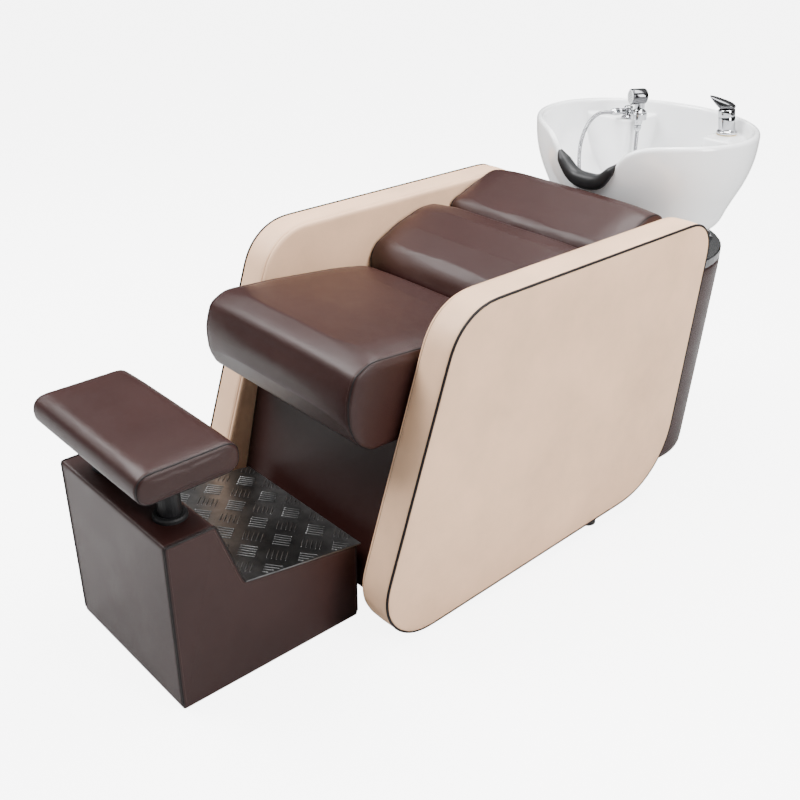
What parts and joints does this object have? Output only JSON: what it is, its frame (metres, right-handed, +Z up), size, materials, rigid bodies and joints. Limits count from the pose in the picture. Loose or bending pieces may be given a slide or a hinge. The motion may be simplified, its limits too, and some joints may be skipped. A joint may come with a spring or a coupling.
{
  "type": "shampoo backwash unit",
  "caption": "Lie-flat salon shampoo lounge with padded seat and back, leaning side panels, footrest box with leg rest, and a tilting ceramic basin with mixer and hand spray.",
  "frame": {"origin": "on the floor, under the middle of the unit's bounding box", "axes": "+Z up, +Y from the leg rest towards the basin, +X towards the mixer's side"},
  "size_m": [0.7, 1.89, 0.9339],
  "materials": {
    "cream_leather": "cream upholstery leather, soft satin with fine grain",
    "brown_leather": "dark burgundy-brown upholstery leather, semi-gloss",
    "black_plastic": "black moulded plastic",
    "frame_steel": "dark painted steel tube",
    "wood": "raw plywood and pine",
    "tread_plate": "dark bright-rolled chequer plate",
    "post_steel": "black satin steel tube",
    "cap_metal": "pale grey satin metal",
    "chrome": "polished chrome plate",
    "ceramic": "white glazed ceramic",
    "rubber": "black satin rubber",
    "brass": "plain brass",
    "white_plastic": "white plastic"
  },
  "bodies": {
    "frame": {"panel_left": "cream_leather", "panel_right": "cream_leather", "foot_front_left": "black_plastic", "foot_front_right": "black_plastic", "foot_rear_left": "black_plastic", "foot_rear_right": "black_plastic", "rail_front": "frame_steel", "rail_middle": "frame_steel", "rail_rear": "frame_steel", "rail_lower": "frame_steel", "front_apron": "brown_leather", "seat_board": "wood", "seat_batten_left": "wood", "seat_batten_right": "wood", "back_board": "wood", "back_batten_left": "wood", "back_batten_right": "wood", "seat_cushion": "brown_leather", "lumbar_cushion": "brown_leather", "upper_back_cushion": "brown_leather", "footrest_box": "brown_leather", "footrest_arm_left": "frame_steel", "footrest_arm_right": "frame_steel", "tread_plate": "tread_plate", "post_sleeve_left": "black_plastic", "post_sleeve_right": "black_plastic", "column_shell": "brown_leather", "column_cap": "cap_metal", "bracket_lower": "chrome", "pivot_bolt_left": "black_plastic", "pivot_bolt_right": "black_plastic"},
    "legrest": {"legrest_pad": "brown_leather", "legrest_board": "wood", "legrest_post_left": "post_steel", "legrest_post_right": "post_steel"},
    "basin": {"bracket_upper": "chrome", "bowl": "ceramic", "neck_rest": "rubber", "drain_grid": "chrome", "waste_nut": "brass", "waste_pipe": "white_plastic", "mixer_gasket": "brass", "mixer_body": "chrome", "mixer_shank": "brass", "mixer_nut": "brass", "spray_base": "chrome", "spray_cradle": "chrome", "spray_shank": "brass", "spray_nut": "brass", "hose_elbow": "chrome", "hose_nut": "chrome", "shower_hose": "chrome"},
    "mixer_cap": {"mixer_dome": "chrome"},
    "mixer_lever": {"mixer_lever": "chrome"},
    "handset": {"handset": "chrome", "spray_face": "white_plastic", "handset_nut": "chrome"}
  },
  "joints": [
    {"name": "legrest_height", "type": "slide", "parent": "frame", "child": "legrest", "axis": [0, 0, 1], "range_m": [-0.06, 0.06]},
    {"name": "basin_tilt", "type": "hinge", "parent": "frame", "child": "basin", "pos_m": [0, 0.775, 0.59], "axis": [-1, 0, 0], "range_deg": [0, 15]},
    {"name": "mixer_swivel", "type": "hinge", "parent": "basin", "child": "mixer_cap", "pos_m": [0.144, 0.856, 0.844], "axis": [-0.1205, -0.0696, 0.9903], "range_deg": [-40, 40]},
    {"name": "mixer_lift", "type": "hinge", "parent": "mixer_cap", "child": "mixer_lever", "pos_m": [0.15035, 0.85967, 0.9032], "axis": [-0.5, 0.866, 0], "range_deg": [0, 22]},
    {"name": "handset_lift", "type": "slide", "parent": "basin", "child": "handset", "axis": [0, 0, 1], "range_m": [0, 0.055]}
  ]
}
